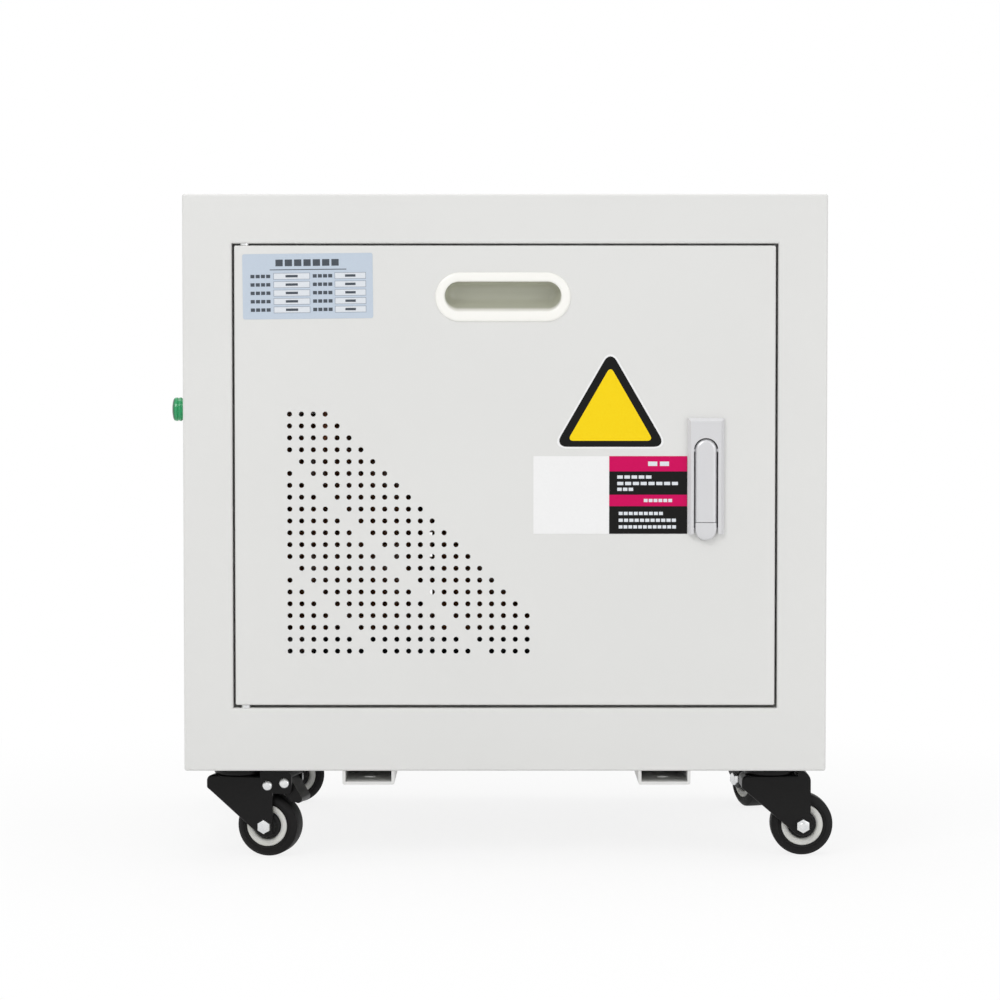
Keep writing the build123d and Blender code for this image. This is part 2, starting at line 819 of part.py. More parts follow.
def fork_outline(braked):
    """Side view of the fork: nose, crown, raised tail and the leg down to the axle."""
    touch = tangent_point(*fork_chin, caster_trail, wheel_radius, fork_lobe_radius)
    points = [
        (-fork_nose, fork_top),
        (-fork_nose, fork_nose_bottom),
        fork_chin,
        touch,
        (caster_trail, wheel_radius),
        (fork_tail, wheel_radius),
        (fork_tail, fork_hump_top),
        (race_radius + 1, fork_hump_top),
        (race_radius + 1, fork_top),
    ]
    leg = Polygon(*points, align=None)
    rounds = (
        ((-fork_nose, fork_top), 6),
        ((-fork_nose, fork_nose_bottom), 3),
        ((fork_tail, fork_hump_top), 1 if braked else 11),
    )
    for corner, radius in rounds:
        leg = fillet(leg.vertices().sort_by_distance(corner)[0], radius)
    lobe = Pos(caster_trail, wheel_radius) * Circle(fork_lobe_radius)
    trim = Pos(fork_tail + 10, wheel_radius) * Rectangle(20, 40)
    outline = leg + (lobe - trim)
    if braked:
        length = brake_ear - race_radius - 1
        height = fork_hump_top - brake_ear_bottom
        middle = Pos(race_radius + 1 + length / 2, brake_ear_bottom + height / 2)
        ear = middle * Rectangle(length, height)
        outline += fillet(ear.vertices().group_by(Axis.X)[-1], 5)
    return outline


def fork(braked):
    """Pressed yoke: two legs and a crown from one sheet, open below."""
    outline = fork_outline(braked)
    tail = brake_ear if braked else fork_tail
    yoke = across(outline, fork_width)
    side_faces = [abs(e.center().Y) > fork_width / 2 - 0.01 for e in yoke.edges()]
    crown_edges = [
        e
        for e, on_side in zip(yoke.edges(), side_faces)
        if on_side and e.center().Z > fork_top - 1 and e.center().X < race_radius
    ]
    yoke = fillet(crown_edges, 2.0)
    hollow = offset(outline, -fork_sheet, kind=Kind.ARC)
    low = -5.0
    below = Rectangle(tail + fork_nose + 20, fork_web_bottom - low)
    hollow += Pos((tail - fork_nose) / 2, (fork_web_bottom + low) / 2) * below
    if braked:
        behind = Rectangle(20, fork_top - fork_web_bottom)
        hollow += Pos(tail - 5, (fork_web_bottom + fork_top) / 2) * behind
    yoke -= across(hollow, fork_width - 2 * fork_sheet)
    yoke -= Pos(0, 0, fork_top) * Cylinder(king_pin_radius + 0.4, 20)
    yoke -= wheel_disc(axle_radius, fork_width + 10)
    if braked:
        for x, z in (brake_pivot, brake_stud):
            yoke -= across(Pos(x, z) * Circle(brake_pin_radius), fork_width + 10)
    return yoke


def axle(braked, head_side):
    """Hex bolt with its nut; a braked fork also has two rivets."""
    half = fork_width / 2
    centre = Pos(caster_trail, wheel_radius)
    hexagon = centre * RegularPolygon(axle_hex_radius, 6)
    shank = centre * Circle(axle_radius)
    bolt = extrude(side_plane(half + axle_end) * shank, amount=2 * half + axle_end + 1)
    bolt += extrude(side_plane(-half) * hexagon, amount=axle_head)
    bolt += extrude(side_plane(half + axle_nut) * hexagon, amount=axle_nut)
    if head_side < 0:
        bolt = mirror(bolt, Plane.XZ)
    pieces = [bolt]
    if braked:
        for x, z in (brake_pivot, brake_stud):
            rivet = across(Pos(x, z) * Circle(brake_pin_radius), fork_width + 2)
            radius, height = rivet_head
            for outward in (-1, 1):
                place = Pos(x, outward * (half + height / 2), z)
                dome = place * Rot(90, 0, 0) * Cylinder(radius, height)
                rivet += fillet(front_edges(dome, outward * (half + height)), 2.2)
            pieces.append(rivet)
    return pieces


def tyre():
    """Tread ring with round shoulders."""
    ring = wheel_disc(wheel_radius, wheel_width)
    shoulders = front_edges(ring, -wheel_width / 2) + front_edges(ring, wheel_width / 2)
    ring = fillet(shoulders, tread_shoulder)
    return ring - wheel_disc(rim_radius, wheel_width + 2)


def rim():
    """Moulded wheel centre: a web and a long hub that runs on the axle."""
    centre = wheel_disc(rim_radius, rim_width)
    centre -= wheel_disc(cap_radius, fork_width) - wheel_disc(cap_radius + 1, web_thickness)
    centre += wheel_disc(hub_radius, fork_width - 2 * fork_sheet - 0.6)
    return centre - wheel_disc(axle_radius + running_gap, fork_width)


def hub_caps():
    """A ring on each side that keeps thread out of the hub."""
    caps = []
    for outward in (-1, 1):
        cap = wheel_disc(cap_radius, cap_thickness) - wheel_disc(hub_radius, web_thickness)
        caps.append(Pos(0, outward * (web_thickness + cap_thickness) / 2, 0) * cap)
    return caps


def brake_pedal():
    """Lever on the brake rivet; its tip stands out past the tyre to be stepped on."""
    edges = [e for x, z, radius in pedal_circles for e in (Pos(x, z) * Circle(radius)).edges()]
    pedal = across(make_hull(edges), pedal_width)
    bore = across(Pos(*brake_pivot) * Circle(brake_pin_radius + running_gap), pedal_width + 2)
    return pedal - bore


def write_cabinet():
    save("front_frame", front_frame())
    save("left_side_panel", side_panel(-1))
    save("right_side_panel", side_panel(1))
    save("top_cover", top_cover())
    save("back_panel", back_panel())
    save("floor_panel", floor_panel())
    save("base_rail_left", base_rail(rail_centres[0]))
    save("base_rail_right", base_rail(rail_centres[1]))
    save("hinge_pins", *hinge_pins())
    save("cabinet_screws", *cabinet_screws())
    lamp_body, lamp_lens = pilot_lamp()
    save("pilot_lamp_body", lamp_body)
    save("pilot_lamp_lens", lamp_lens)
    save("cable_grommets", *cable_grommets())
    save("earth_stud", earth_stud())


def write_transformer():
    save("core_stack", core_stack())
    save("top_yoke", top_yoke())
    save("core_clamps", *core_clamps())
    save("tie_bolts", *tie_bolts())
    inner, outer = windings()
    save("lv_windings", *inner)
    for letter, winding in zip("abc", outer):
        save("hv_winding_" + letter, winding)
    save("terminal_board", terminal_board())
    save("terminal_bars", *terminal_bars())


def write_door():
    save("door_panel", door_panel())
    save("pull_cup", pull_cup())
    save("rating_plate", rating_plate())
    save("triangle_label", triangle_label())
    save("banded_label", banded_label())
    save("lock_bezel", lock_bezel())
    save("lock_cam", lock_cam())
    save("lock_paddle", lock_paddle())
    save("lock_button", lock_button())


def write_casters():
    for corner, sign_x, sign_y, turn, braked, head_side in casters:
        place = Pos(sign_x * caster_x, sign_y * caster_y, 0)
        turned = place * Rot(0, 0, turn)
        name = "caster_" + corner + "_"
        save(name + "plate", place * caster_plate())
        save(name + "fork", turned * fork(braked))
        save(name + "axle", *[turned * piece for piece in axle(braked, head_side)])
        save(name + "tyre", turned * tyre())
        save(name + "rim", turned * rim())
        save(name + "hub_caps", *[turned * cap for cap in hub_caps()])
        if braked:
            save(name + "brake_pedal", turned * brake_pedal())


os.makedirs("parts", exist_ok=True)
write_cabinet()
write_transformer()
write_door()
write_casters()
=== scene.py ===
import bpy
import bmesh
import json
import math
from mathutils import Matrix, Vector


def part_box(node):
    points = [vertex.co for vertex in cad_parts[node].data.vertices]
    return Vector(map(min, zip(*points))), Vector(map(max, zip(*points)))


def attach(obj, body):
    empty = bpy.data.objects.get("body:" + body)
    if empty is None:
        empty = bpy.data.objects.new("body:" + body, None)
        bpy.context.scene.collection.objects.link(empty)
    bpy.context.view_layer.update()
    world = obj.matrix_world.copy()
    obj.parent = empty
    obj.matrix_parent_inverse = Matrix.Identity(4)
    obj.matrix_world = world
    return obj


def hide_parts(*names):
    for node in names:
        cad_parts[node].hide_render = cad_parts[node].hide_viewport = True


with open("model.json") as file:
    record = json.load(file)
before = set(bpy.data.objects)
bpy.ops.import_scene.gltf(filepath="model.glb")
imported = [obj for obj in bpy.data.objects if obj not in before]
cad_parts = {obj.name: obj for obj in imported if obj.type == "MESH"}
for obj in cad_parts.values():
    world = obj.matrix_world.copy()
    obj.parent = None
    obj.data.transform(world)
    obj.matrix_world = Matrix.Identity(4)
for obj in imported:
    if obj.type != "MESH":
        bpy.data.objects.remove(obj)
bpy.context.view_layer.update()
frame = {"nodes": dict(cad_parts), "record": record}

nodes = frame["nodes"]
mm = 0.001
print("frame loaded")

cabinetLow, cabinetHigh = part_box("front_frame")
frontY = cabinetLow.y
corners = ("fl", "fr", "rl", "rr")
brakedCorners = ("fl", "rr")
nearby = 0.01 * mm  # two places closer than this count as one
merging = 0.001 * mm  # doubled points closer than this are merged
filmLayer = 0.07 * mm  # printed films are drawn as layers, thick enough not to flicker
markShare = 0.78  # the part of its step in a row that a blank mark fills
upright = Matrix.Rotation(math.radians(90), 4, "X")  # stands a flat shape up, facing the front


def linearColor(hexText):
    # sRGB hex to the linear values that the shaders take
    values = [int(hexText[i:i + 2], 16) / 255 for i in (0, 2, 4)]
    return [v / 12.92 if v <= 0.04045 else ((v + 0.055) / 1.055) ** 2.4 for v in values] + [1.0]


def addNode(tree, kind, **settings):
    # a keyword is a socket or a property, socketN is input number N, and a tuple of
    # (node, output) becomes a link
    node = tree.nodes.new(kind)
    for key, value in settings.items():
        name = key.replace("_", " ")
        byNumber = key.startswith("socket")
        socket = node.inputs[int(key[6:])] if byNumber else node.inputs.get(name)
        if isinstance(value, tuple) and value and isinstance(value[0], bpy.types.Node):
            tree.links.new(value[0].outputs[value[1]], socket)
        elif socket is not None:
            socket.default_value = value
        else:
            setattr(node, key, value)
    return node


def newMaterial(name, hexText, roughness, metallic=0.0, **sockets):
    material = bpy.data.materials.new(name)
    material.use_nodes = True
    tree = material.node_tree
    shader = tree.nodes["Principled BSDF"]
    shader.inputs["Base Color"].default_value = linearColor(hexText)
    shader.inputs["Roughness"].default_value = roughness
    shader.inputs["Metallic"].default_value = metallic
    for key, value in sockets.items():
        shader.inputs[key.replace("_", " ")].default_value = value
    return material, tree, shader


def dressSurface(tree, shader, pattern, colors=None, gloss=None, relief=None):
    # let one pattern drive colour, roughness and relief; relief is depth in mm and strength
    if colors:
        ramp = addNode(tree, "ShaderNodeValToRGB", Fac=pattern)
        for element, hexText in zip(ramp.color_ramp.elements, colors):
            element.color = linearColor(hexText)
        tree.links.new(ramp.outputs["Color"], shader.inputs["Base Color"])
        if colors[2:]:
            ramp.color_ramp.interpolation = colors[2]
    if gloss:
        spread = addNode(tree, "ShaderNodeMapRange", Value=pattern)
        spread.inputs["To Min"].default_value = gloss[0]
        spread.inputs["To Max"].default_value = gloss[1]
        tree.links.new(spread.outputs["Result"], shader.inputs["Roughness"])
    if relief:
        depth, strength = relief
        bump = addNode(tree, "ShaderNodeBump", Height=pattern, Strength=strength,
                       Distance=depth * mm)
        tree.links.new(bump.outputs["Normal"], shader.inputs["Normal"])


def grainedMaterial(name, color, roughness, grain, detail, colors=None, gloss=None, relief=None,
                    metallic=0.0, **sockets):
    # a finish whose variation comes from one noise, its grain given in mm
    material, tree, shader = newMaterial(name, color, roughness, metallic, **sockets)
    coords = addNode(tree, "ShaderNodeTexCoord")
    pattern = addNode(tree, "ShaderNodeTexNoise", Vector=(coords, "Object"),
                      Scale=1 / (grain * mm), Detail=detail)
    dressSurface(tree, shader, (pattern, "Fac"), colors, gloss, relief)
    return material


def depthBetween(tree, coords, axis, start, end):
    # 0 to 1 between two places along one axis
    place = addNode(tree, "ShaderNodeSeparateXYZ", Vector=(coords, "Object"))
    depth = addNode(tree, "ShaderNodeMapRange", Value=(place, axis))
    depth.inputs["From Min"].default_value = start
    depth.inputs["From Max"].default_value = end
    return depth


def paint(material, *names):
    for name in names:
        mesh = nodes[name].data
        mesh.materials.clear()
        mesh.materials.append(material)


def finishPiece(mesh, name, material, body, replaced=(), smoothAngle=35):
    # turn a bmesh into an object at the origin that rides on a body
    data = bpy.data.meshes.new(name)
    mesh.to_mesh(data)
    mesh.free()
    data.materials.append(material)
    piece = bpy.data.objects.new(name, data)
    bpy.context.scene.collection.objects.link(piece)
    data.shade_smooth()
    data.set_sharp_from_angle(angle=math.radians(smoothAngle))
    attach(piece, body)
    if replaced:
        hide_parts(*replaced)
    return piece


def powderCoatedSteel():
    # polyester powder on steel: satin, with the shallow orange peel of a baked coat; the peel
    # is about 0.8 mm wide on a real coat, drawn at 1.6 mm so that it shows
    coating = {"color": "E2E2E0", "roughness": 0.42, "peel": 1.6, "peelDetail": 2.0,
               "gloss": (0.38, 0.48), "relief": (0.05, 0.5), "cloud": 180, "cloudDetail": 3.0,
               "clouds": ("E0E0DE", "E5E5E3")}
    material, tree, shader = newMaterial("powderCoatedSteel", coating["color"],
                                         coating["roughness"])
    coords = addNode(tree, "ShaderNodeTexCoord")
    peel = addNode(tree, "ShaderNodeTexNoise", Vector=(coords, "Object"),
                   Scale=1 / (coating["peel"] * mm), Detail=coating["peelDetail"])
    cloud = addNode(tree, "ShaderNodeTexNoise", Vector=(coords, "Object"),
                    Scale=1 / (coating["cloud"] * mm), Detail=coating["cloudDetail"])
    dressSurface(tree, shader, (cloud, "Fac"), colors=coating["clouds"])
    dressSurface(tree, shader, (peel, "Fac"), gloss=coating["gloss"], relief=coating["relief"])
    return material


def mouldedCup():
    # glossy ABS: bright moulded rim, faint flow marks in the gloss, and painted shade in the well
    # behind the mouth, darker with depth
    moulding = {"color": "F6F5EF", "roughness": 0.2, "well": ("FBFAF5", "B9BAAA", "EASE"),
                "wellStart": 0.4, "wellEnd": 8, "flow": 14, "flowDetail": 4.0,
                "gloss": (0.14, 0.28), "relief": (0.1, 0.25)}
    material, tree, shader = newMaterial("glossyMouldedAbs", moulding["color"],
                                         moulding["roughness"])
    coords = addNode(tree, "ShaderNodeTexCoord")
    # painted shade: the well's colour darkens with depth behind the mouth
    depth = depthBetween(tree, coords, "Y", frontY + moulding["wellStart"] * mm,
                         frontY + moulding["wellEnd"] * mm)
    dressSurface(tree, shader, (depth, "Result"), colors=moulding["well"])
    flow = addNode(tree, "ShaderNodeTexNoise", Vector=(coords, "Object"),
                   Scale=1 / (moulding["flow"] * mm), Detail=moulding["flowDetail"])
    dressSurface(tree, shader, (flow, "Fac"), gloss=moulding["gloss"], relief=moulding["relief"])
    return material


def greenLens():
    # moulded polycarbonate lens of the pilot lamp: clear green sides, and painted shade darkening
    # the outer end
    lens = {"color": "1BA362", "roughness": 0.16, "through": 0.15, "ior": 1.58,
            "endShadeColors": ("0B3A26", "1FAE6A"), "endShadeStart": 1.5, "endShadeStop": 4.5,
            "ripple": 6, "rippleDetail": 2.0, "relief": (0.03, 0.2)}
    material, tree, shader = newMaterial("greenPolycarbonate", lens["color"], lens["roughness"],
                                         Transmission_Weight=lens["through"], IOR=lens["ior"])
    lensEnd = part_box("pilot_lamp_lens")[0].x
    coords = addNode(tree, "ShaderNodeTexCoord")
    # painted shade: the lens is coloured darker towards its outer end
    endShade = depthBetween(tree, coords, "X", lensEnd + lens["endShadeStart"] * mm,
                         lensEnd + lens["endShadeStop"] * mm)
    dressSurface(tree, shader, (endShade, "Result"), colors=lens["endShadeColors"])
    ripple = addNode(tree, "ShaderNodeTexNoise", Vector=(coords, "Object"),
                     Scale=1 / (lens["ripple"] * mm), Detail=lens["rippleDetail"])
    dressSurface(tree, shader, (ripple, "Fac"), relief=lens["relief"])
    return material


def bandedMaterial(name, colors, roughness, pitch, direction, distortion, relief, metallic=0.0,
                   **sockets):
    # a finish of even bands, one to each pitch, given in mm
    bandScale = 0.314  # the scale at which a wave repeats once in each unit
    material, tree, shader = newMaterial(name, colors["base"], roughness, metallic, **sockets)
    coords = addNode(tree, "ShaderNodeTexCoord")
    bands = addNode(tree, "ShaderNodeTexWave", Vector=(coords, "Object"),
                    bands_direction=direction, Distortion=distortion,
                    Scale=bandScale / (pitch * mm))
    dressSurface(tree, shader, (bands, "Color"), colors=colors["bands"])
    dressSurface(tree, shader, (bands, "Fac"), relief=relief)
    return material


def resinWinding(name, firstHex, secondHex, pitch):
    # a coil of paper-wrapped wire, or of foil and paper, under brown varnish: turn above turn
    return bandedMaterial(name, {"base": firstHex, "bands": (firstHex, secondHex)}, roughness=0.32,
                          pitch=pitch, direction="Z", distortion=0.3, relief=(0.4, 0.7),
                          Coat_Weight=0.4)


def printedVinyl(name, *colors):
    # printed vinyl film: even ink under a satin laminate, with a faint stipple, which is finer
    # on real film and drawn at 2.5 mm so that it shows
    return grainedMaterial(name, color=colors[0], roughness=0.4, grain=2.5, detail=3.0,
                           colors=colors, relief=(0.02, 0.3), Specular_IOR_Level=0.12)


def metalStock(name, firstHex, secondHex, roughness):
    # drawn bar or turned rod: a little tarnish, and faint lines along it, which are finer on
    # real metal and drawn at 1.2 mm so that they show
    stock = {"stretch": (1.0, 1.0, 0.08), "line": 1.2, "detail": 3.0, "relief": (0.02, 0.4)}
    material, tree, shader = newMaterial(name, firstHex, roughness, metallic=1.0)
    coords = addNode(tree, "ShaderNodeTexCoord")
    stretch = addNode(tree, "ShaderNodeMapping", Vector=(coords, "Object"), Scale=stock["stretch"])
    lines = addNode(tree, "ShaderNodeTexNoise", Vector=(stretch, "Vector"),
                    Scale=1 / (stock["line"] * mm), Detail=stock["detail"])
    dressSurface(tree, shader, (lines, "Fac"), (firstHex, secondHex), relief=stock["relief"])
    return material


coat = powderCoatedSteel()
cupAbs = mouldedCup()
lensGreen = greenLens()

# zinc die casting with satin chrome: soft highlights over a fine blasted grain, drawn at
# 0.9 mm so that it shows
satinChrome = grainedMaterial("satinChromedZinc", "D6D6D8", roughness=0.36, metallic=0.45,
                              grain=0.9, detail=2.0, gloss=(0.3, 0.42), relief=(0.02, 0.4))
# bright zinc on steel: blotchy sheen from the passivation
zinc = grainedMaterial("brightZincPlate", "D9DADC", roughness=0.28, metallic=1.0,
                       grain=6, detail=2.0, colors=("D2D4D8", "EDEDEA"), gloss=(0.2, 0.34),
                       relief=(0.02, 0.2))
# cathodic dip coat on pressed steel: near black, half gloss, thin at the edges
electroCoat = grainedMaterial("blackElectroCoat", "151515", roughness=0.36, grain=2.2, detail=3.0,
                              colors=("0C0C0C", "161515"), gloss=(0.28, 0.46),
                              relief=(0.06, 0.35), Specular_IOR_Level=0.18)
# thermoplastic rubber tread: matt, slightly dusty
treadRubber = grainedMaterial("mouldedTreadRubber", "1B1B1A", roughness=0.5, grain=5, detail=6.0,
                              colors=("0E0E0E", "191818"), gloss=(0.5, 0.72),
                              relief=(0.08, 0.4), Specular_IOR_Level=0.2)
# off-white nylon wheel centre: satin, slightly waxy
nylon = grainedMaterial("mouldedWhiteNylon", "DDDDD8", roughness=0.4, grain=4, detail=3.0,
                        gloss=(0.32, 0.5), relief=(0.03, 0.3), Subsurface_Weight=0.08,
                        Subsurface_Radius=(0.003, 0.003, 0.002))
# black polypropylene: fine spark-eroded texture, drawn at 0.8 mm so that it shows
polypropylene = grainedMaterial("blackPolypropylene", "1A1A1A", roughness=0.5, grain=0.8,
                                detail=2.0, gloss=(0.42, 0.6), relief=(0.04, 0.5),
                                Specular_IOR_Level=0.2)
# grommet rubber: matt with a fine bloom
rubber = grainedMaterial("grommetRubber", "1D1D1D", roughness=0.7, grain=4, detail=3.0,
                         colors=("181818", "282828"), relief=(0.05, 0.4))
# brushed-on grey primer over mill steel
primer = grainedMaterial("greyPrimedSteel", "3C3F42", roughness=0.55, grain=3, detail=4.0,
                         colors=("33363A", "474A4D"), relief=(0.1, 0.4))
# red glass-polyester sheet: mat fibres just under the surface
board = grainedMaterial("redGlassPolyester", "A5382A", roughness=0.38, grain=5, detail=8.0,
                        colors=("8E2C20", "B64434"), relief=(0.05, 0.4))
# cold-rolled laminations on edge under clear varnish: 0.35 mm apart, drawn at 1.4 mm
laminations = bandedMaterial("varnishedLaminations",
                             {"base": "4A4B50", "bands": ("3B3C40", "5C5D63")}, roughness=0.4,
                             pitch=1.4, direction="Y", distortion=0.6, relief=(0.1, 0.5),
                             metallic=0.8)
foilWinding = resinWinding("foilAndPaperWinding", "7A4B22", "93602F", pitch=6)
wireWinding = resinWinding("varnishedWireWinding", "8A4A1C", "B06A30", pitch=2.6)
copperBar = metalStock("drawnCopperBar", "C27B57", "D59070", roughness=0.3)
turnedBrass = metalStock("turnedBrass", "C9A35A", "DAB872", roughness=0.28)

whiteVinyl = printedVinyl("whitePrintedVinyl", "F6F6F6", "F1F1F1")
blackVinyl = printedVinyl("blackPrintedVinyl", "121211", "191918")
yellowVinyl = printedVinyl("yellowPrintedVinyl", "F9D40E", "FBDB1E")
magentaVinyl = printedVinyl("magentaPrintedVinyl", "CE0659", "D20C60")
blueVinyl = printedVinyl("paleBluePrintedFilm", "C2CEDC", "C8D3E0")
inkVinyl = printedVinyl("greyPrintedInk", "9AA3B0", "A2ABB7")
darkInk = printedVinyl("darkPrintedInk", "4A5058", "565C64")
paleVinyl = printedVinyl("paleInk", "DDE2E8", "E4E8ED")

paint(coat, "front_frame", "left_side_panel", "right_side_panel", "top_cover", "back_panel",
      "floor_panel", "base_rail_left", "base_rail_right", "door_panel")
paint(zinc, "hinge_pins", "cabinet_screws", "tie_bolts", "lock_cam")
paint(polypropylene, "pilot_lamp_body")
paint(lensGreen, "pilot_lamp_lens")
paint(rubber, "cable_grommets")
paint(turnedBrass, "earth_stud")
paint(copperBar, "terminal_bars")
paint(laminations, "core_stack", "top_yoke")
paint(primer, "core_clamps")
paint(foilWinding, "lv_windings")
paint(wireWinding, "hv_winding_a", "hv_winding_b", "hv_winding_c")
paint(board, "terminal_board")
paint(cupAbs, "pull_cup")
paint(blueVinyl, "rating_plate")
paint(whiteVinyl, "triangle_label", "banded_label")
paint(satinChrome, "lock_bezel", "lock_paddle", "lock_button")
for corner in corners:
    lead = "caster_" + corner + "_"
    paint(electroCoat, lead + "plate", lead + "fork")
    paint(zinc, lead + "axle")
    paint(treadRubber, lead + "tyre")
    paint(nylon, lead + "rim")
    paint(polypropylene, lead + "hub_caps")
    if corner in brakedCorners:
        paint(electroCoat, lead + "brake_pedal")
print("materials made")


def roundEdges(mesh, edges, radius, segments=6):
    bmesh.ops.bevel(mesh, geom=list(edges), offset=radius, offset_type="OFFSET",
                    segments=segments, profile=0.5, affect="EDGES", material=-1)


def thicken(mesh, verts, thickness, corner):
    # pull a flat face towards the front and round the edges that run in depth
    face = verts[0].link_faces[0]
    made = bmesh.ops.extrude_face_region(mesh, geom=[face], use_keep_orig=True)["geom"]
    frontVerts = [item for item in made if isinstance(item, bmesh.types.BMVert)]
    bmesh.ops.translate(mesh, vec=(0, -thickness, 0), verts=frontVerts)
    if corner:
        edges = [e for v in frontVerts for e in v.link_edges if e.other_vert(v) not in frontVerts]
        roundEdges(mesh, edges, corner)


def frontPlate(mesh, left, right, low, high, backY, thickness, corner=0.0):
    # a thin plate that faces the front: a flat cell stood up, thickened and rounded
    verts = bmesh.ops.create_grid(mesh, x_segments=1, y_segments=1, size=0.5)["verts"]
    place = Matrix.Translation(((left + right) / 2, backY, (low + high) / 2))
    stand = upright @ Matrix.Diagonal((right - left, high - low, 1, 1))
    bmesh.ops.transform(mesh, matrix=place @ stand, verts=verts)
    thicken(mesh, verts, thickness, corner)


def frontTriangle(mesh, centreX, baseZ, side, backY, thickness, corner):
    # an upright triangle that faces the front, its sides meeting in round corners
    verts = bmesh.ops.create_circle(mesh, cap_ends=True, segments=3,
                                    radius=side / math.sqrt(3))["verts"]
    place = Matrix.Translation((centreX, backY, baseZ + side * math.sqrt(3) / 6))
    bmesh.ops.transform(mesh, matrix=place @ upright, verts=verts)
    thicken(mesh, verts, thickness, corner * math.sqrt(3))


def joinMesh(target, source):
    # put one bmesh into another
    loose = bpy.data.meshes.new("loose")
    source.to_mesh(loose)
    source.free()
    target.from_mesh(loose)
    bpy.data.meshes.remove(loose)


def finishPrint(mesh, name, material, replaced=(), turn=0.0, centre=None):
    # close a set of printed fields and let it ride on the door
    if turn:
        lean = Matrix.Rotation(-math.radians(turn), 3, "Y")
        bmesh.ops.rotate(mesh, cent=centre, matrix=lean, verts=mesh.verts)
    bmesh.ops.recalc_face_normals(mesh, faces=mesh.faces)
    return finishPiece(mesh, name, material, "door", replaced, smoothAngle=30)


def blockRow(mesh, left, right, middle, height, count, backY, thickness):
    # a row of blank marks where a line of print stands
    pitch = (right - left) / count
    low, high = middle - height / 2, middle + height / 2
    for step in range(count):
        x = left + pitch * step
        frontPlate(mesh, x, x + pitch * markShare, low, high, backY, thickness)


def makeRatingPlate():
    # pale film with a heading, five rows of captions and ten outlined boxes, all blank
    plate = {"turn": 0.65, "corner": 2, "rows": 5, "rowDrop": 22.2, "rowPitch": 8.3,
             "headingLeft": 32.8, "headingRight": 97.5, "headingDrop": 9.0, "headingHigh": 6.6,
             "headingCount": 7, "ruleLeft": 27, "ruleRight": 103, "ruleDrop": 15.4,
             "ruleThick": 0.8, "captions": ((7.8, 28.6), (69.6, 90.0)), "captionHigh": 3.4,
             "captionCount": 4, "boxes": ((30.5, 66.8), (91.2, 122.3)), "boxHigh": 6.6,
             "outline": 0.55, "valueHalf": 1.2}
    low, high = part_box("rating_plate")
    centre = (low + high) / 2
    base, ink, outlines, fills = (bmesh.new() for layer in range(4))
    frontPlate(base, low.x, high.x, low.z, high.z, frontY, high.y - low.y, plate["corner"] * mm)

    def across(value):
        return low.x + value * mm

    def down(value):
        return high.z - value * mm

    blockRow(ink, across(plate["headingLeft"]), across(plate["headingRight"]),
             down(plate["headingDrop"]), plate["headingHigh"] * mm, plate["headingCount"],
             low.y, filmLayer)
    frontPlate(ink, across(plate["ruleLeft"]), across(plate["ruleRight"]),
               down(plate["ruleDrop"] + plate["ruleThick"]), down(plate["ruleDrop"]),
               low.y, filmLayer)
    half, edge, value = plate["boxHigh"] / 2, plate["outline"], plate["valueHalf"]
    for row in range(plate["rows"]):
        drop = plate["rowDrop"] + row * plate["rowPitch"]
        for left, right in plate["captions"]:
            blockRow(ink, across(left), across(right), down(drop), plate["captionHigh"] * mm,
                     plate["captionCount"], low.y, filmLayer)
        for left, right in plate["boxes"]:
            third = (right - left) / 3
            frontPlate(outlines, across(left), across(right), down(drop + half),
                       down(drop - half), low.y, filmLayer)
            frontPlate(fills, across(left + edge), across(right - edge),
                       down(drop + half - edge), down(drop - half + edge), low.y, 2 * filmLayer)
            frontPlate(ink, across(left + third), across(right - third), down(drop + value),
                       down(drop - value), low.y, 3 * filmLayer)
    for mesh, name, material, replaced in ((base, "ratingFilm", blueVinyl, ("rating_plate",)),
                                           (ink, "ratingInk", darkInk, ()),
                                           (outlines, "ratingOutlines", inkVinyl, ()),
                                           (fills, "ratingBoxes", paleVinyl, ())):
        finishPrint(mesh, name, material, replaced, plate["turn"], centre)


def makeTriangleLabel():
    # white edge, black band and yellow field, left blank inside
    label = {"widths": (117.0, 110.8, 85.4), "corners": (8.5, 7.0, 3.4),
             "drops": (-2.3, -0.5, 5.5)}
    low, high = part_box("triangle_label")
    centreX = (low.x + high.x) / 2
    layers = (("triangleEdge", whiteVinyl, ("triangle_label",)),
              ("triangleBand", blackVinyl, ()), ("triangleField", yellowVinyl, ()))
    for step, (name, material, replaced) in enumerate(layers):
        mesh = bmesh.new()
        depth = (high.y - low.y) + step * filmLayer
        frontTriangle(mesh, centreX, low.z + label["drops"][step] * mm,
                      label["widths"][step] * mm, frontY, depth, label["corners"][step] * mm)
        finishPrint(mesh, name, material, replaced)


def makeBandedLabel():
    # the right half of the white label: two magenta bands on black, with rows of blank marks
    label = {"split": 75.3, "bands": ((0.0, 15.2), (38.4, 49.8)),
             # each row of marks: drop from the top, start, end, height and number of marks
             "rows": ((7.6, 38.6, 62.0, 4.4, 2), (44.1, 34.4, 63.6, 3.2, 6),
                      (20.8, 8.0, 43.5, 3.2, 5), (27.2, 8.0, 70.0, 3.2, 8),
                      (33.0, 8.0, 25.0, 3.2, 3), (57.0, 9.5, 54.5, 3.2, 9),
                      (63.8, 9.5, 67.5, 3.2, 11), (70.4, 9.5, 67.5, 3.2, 12))}
    low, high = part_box("banded_label")
    left = low.x + label["split"] * mm
    ground, bands, marks = (bmesh.new() for layer in range(3))
    frontPlate(ground, left, high.x, low.z, high.z, low.y, filmLayer)
    for start, end in label["bands"]:
        frontPlate(bands, left, high.x, high.z - end * mm, high.z - start * mm, low.y,
                   2 * filmLayer)
    for drop, start, end, tall, count in label["rows"]:
        blockRow(marks, left + start * mm, left + end * mm, high.z - drop * mm, tall * mm, count,
                 low.y, 3 * filmLayer)
    finishPrint(ground, "bandedGround", blackVinyl)
    finishPrint(bands, "bandedStripes", magentaVinyl)
    finishPrint(marks, "bandedMarks", paleVinyl)


